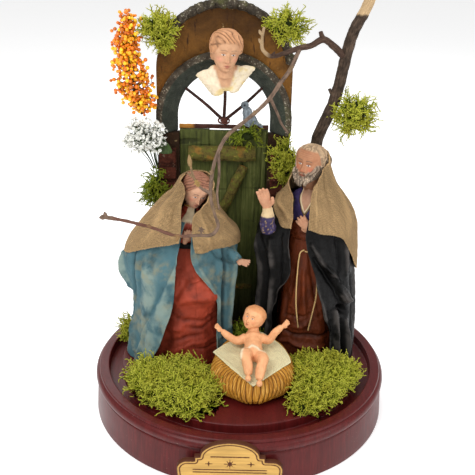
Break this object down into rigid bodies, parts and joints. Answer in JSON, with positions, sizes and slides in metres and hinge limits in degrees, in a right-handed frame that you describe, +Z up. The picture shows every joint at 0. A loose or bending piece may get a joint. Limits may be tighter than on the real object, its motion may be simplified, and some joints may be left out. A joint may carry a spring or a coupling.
{
  "type": "nativity scene ornament",
  "caption": "Nativity group on a round turned base with a dome groove: two robed figures, a baby in a straw cradle, a planked door under an arch, branches and moss.",
  "frame": {"origin": "middle of the base's flat underside", "axes": "+Z up along the turned base's axis, the viewer stands at -Y, +X to the viewer's right"},
  "size_m": [0.2006, 0.2044, 0.2819],
  "materials": {
    "lacquered_wood": "satin burgundy lacquer on turned wood",
    "laser_plywood": "raw light plywood with burnt edges",
    "ochre_board": "ochre scumbled paint on board, darker towards the edges",
    "rough_bark": "rough grey-green flecked coating",
    "brick_red": "matt red-brown painted relief",
    "door_green": "weathered green stain with dark grain",
    "door_bark": "mossy bark",
    "fan_stick": "dark brown twig",
    "painted_clay": "hand-painted fired clay, satin",
    "dove_grey": "matt blue-grey paint",
    "branch_bark": "grey-brown natural bark",
    "moss": "dried lichen and moss",
    "berry_orange": "small glossy berries",
    "flower_white": "small dry white flowers",
    "stem_green": "green flower stems",
    "mantle_teal": "stiffened cloth, weathered teal paint",
    "dress_red": "stiffened cloth, brick red",
    "burlap": "fine beige burlap",
    "robe_brown": "stiffened cloth, red-brown",
    "cloak_black": "stiffened cloth, near black with worn folds",
    "shirt_violet": "violet-blue painted cloth",
    "belt_cord": "twisted tan cord",
    "straw_gold": "moulded straw, ochre wash",
    "cream_cloth": "cream cloth"
  },
  "bodies": {
    "root": {"turned_base": "lacquered_wood", "plaque": "laser_plywood", "arch_board": "ochre_board", "coping_strip": "rough_bark", "archivolt_ring": "rough_bark", "left_jamb_bricks": "brick_red", "right_jamb_bricks": "brick_red", "door_plank_left": "door_green", "door_plank_middle": "door_green", "door_plank_right": "door_green", "door_edge_strip": "door_green", "door_top_batten": "door_bark", "door_brace": "door_bark", "door_lower_batten": "door_bark", "fan_transom": "fan_stick", "fan_knot": "fan_stick", "fan_spoke_left": "fan_stick", "fan_spoke_middle": "fan_stick", "fan_spoke_right": "fan_stick", "cherub_bust": "painted_clay", "mary_head": "painted_clay", "mary_open_hand": "painted_clay", "mary_chest_hand": "painted_clay", "joseph_head": "painted_clay", "joseph_raised_hand": "painted_clay", "joseph_chest_hand": "painted_clay", "baby_figure": "painted_clay", "dove": "dove_grey", "branch_trunk": "branch_bark", "branch_side_arm": "branch_bark", "branch_front_arm": "branch_bark", "moss_arch_left": "moss", "moss_arch_right": "moss", "moss_right_jamb": "moss", "moss_left_jamb": "moss", "moss_door_top": "moss", "moss_branch": "moss", "moss_ground_left": "moss", "moss_ground_right": "moss", "moss_behind_cradle": "moss", "moss_back_left": "moss", "berry_spray": "berry_orange", "white_flowers": "flower_white", "flower_stems": "stem_green", "mary_mantle": "mantle_teal", "mary_cuff": "mantle_teal", "mary_skirt": "dress_red", "mary_bodice": "dress_red", "mary_belt": "cloak_black", "joseph_cloak": "cloak_black", "mary_veil": "burlap", "joseph_shawl": "burlap", "joseph_robe": "robe_brown", "joseph_sash": "robe_brown", "joseph_shirt": "shirt_violet", "joseph_sleeve": "shirt_violet", "joseph_belt_cord": "belt_cord", "straw_cradle": "straw_gold", "cradle_cloth": "cream_cloth"}
  },
  "joints": []
}
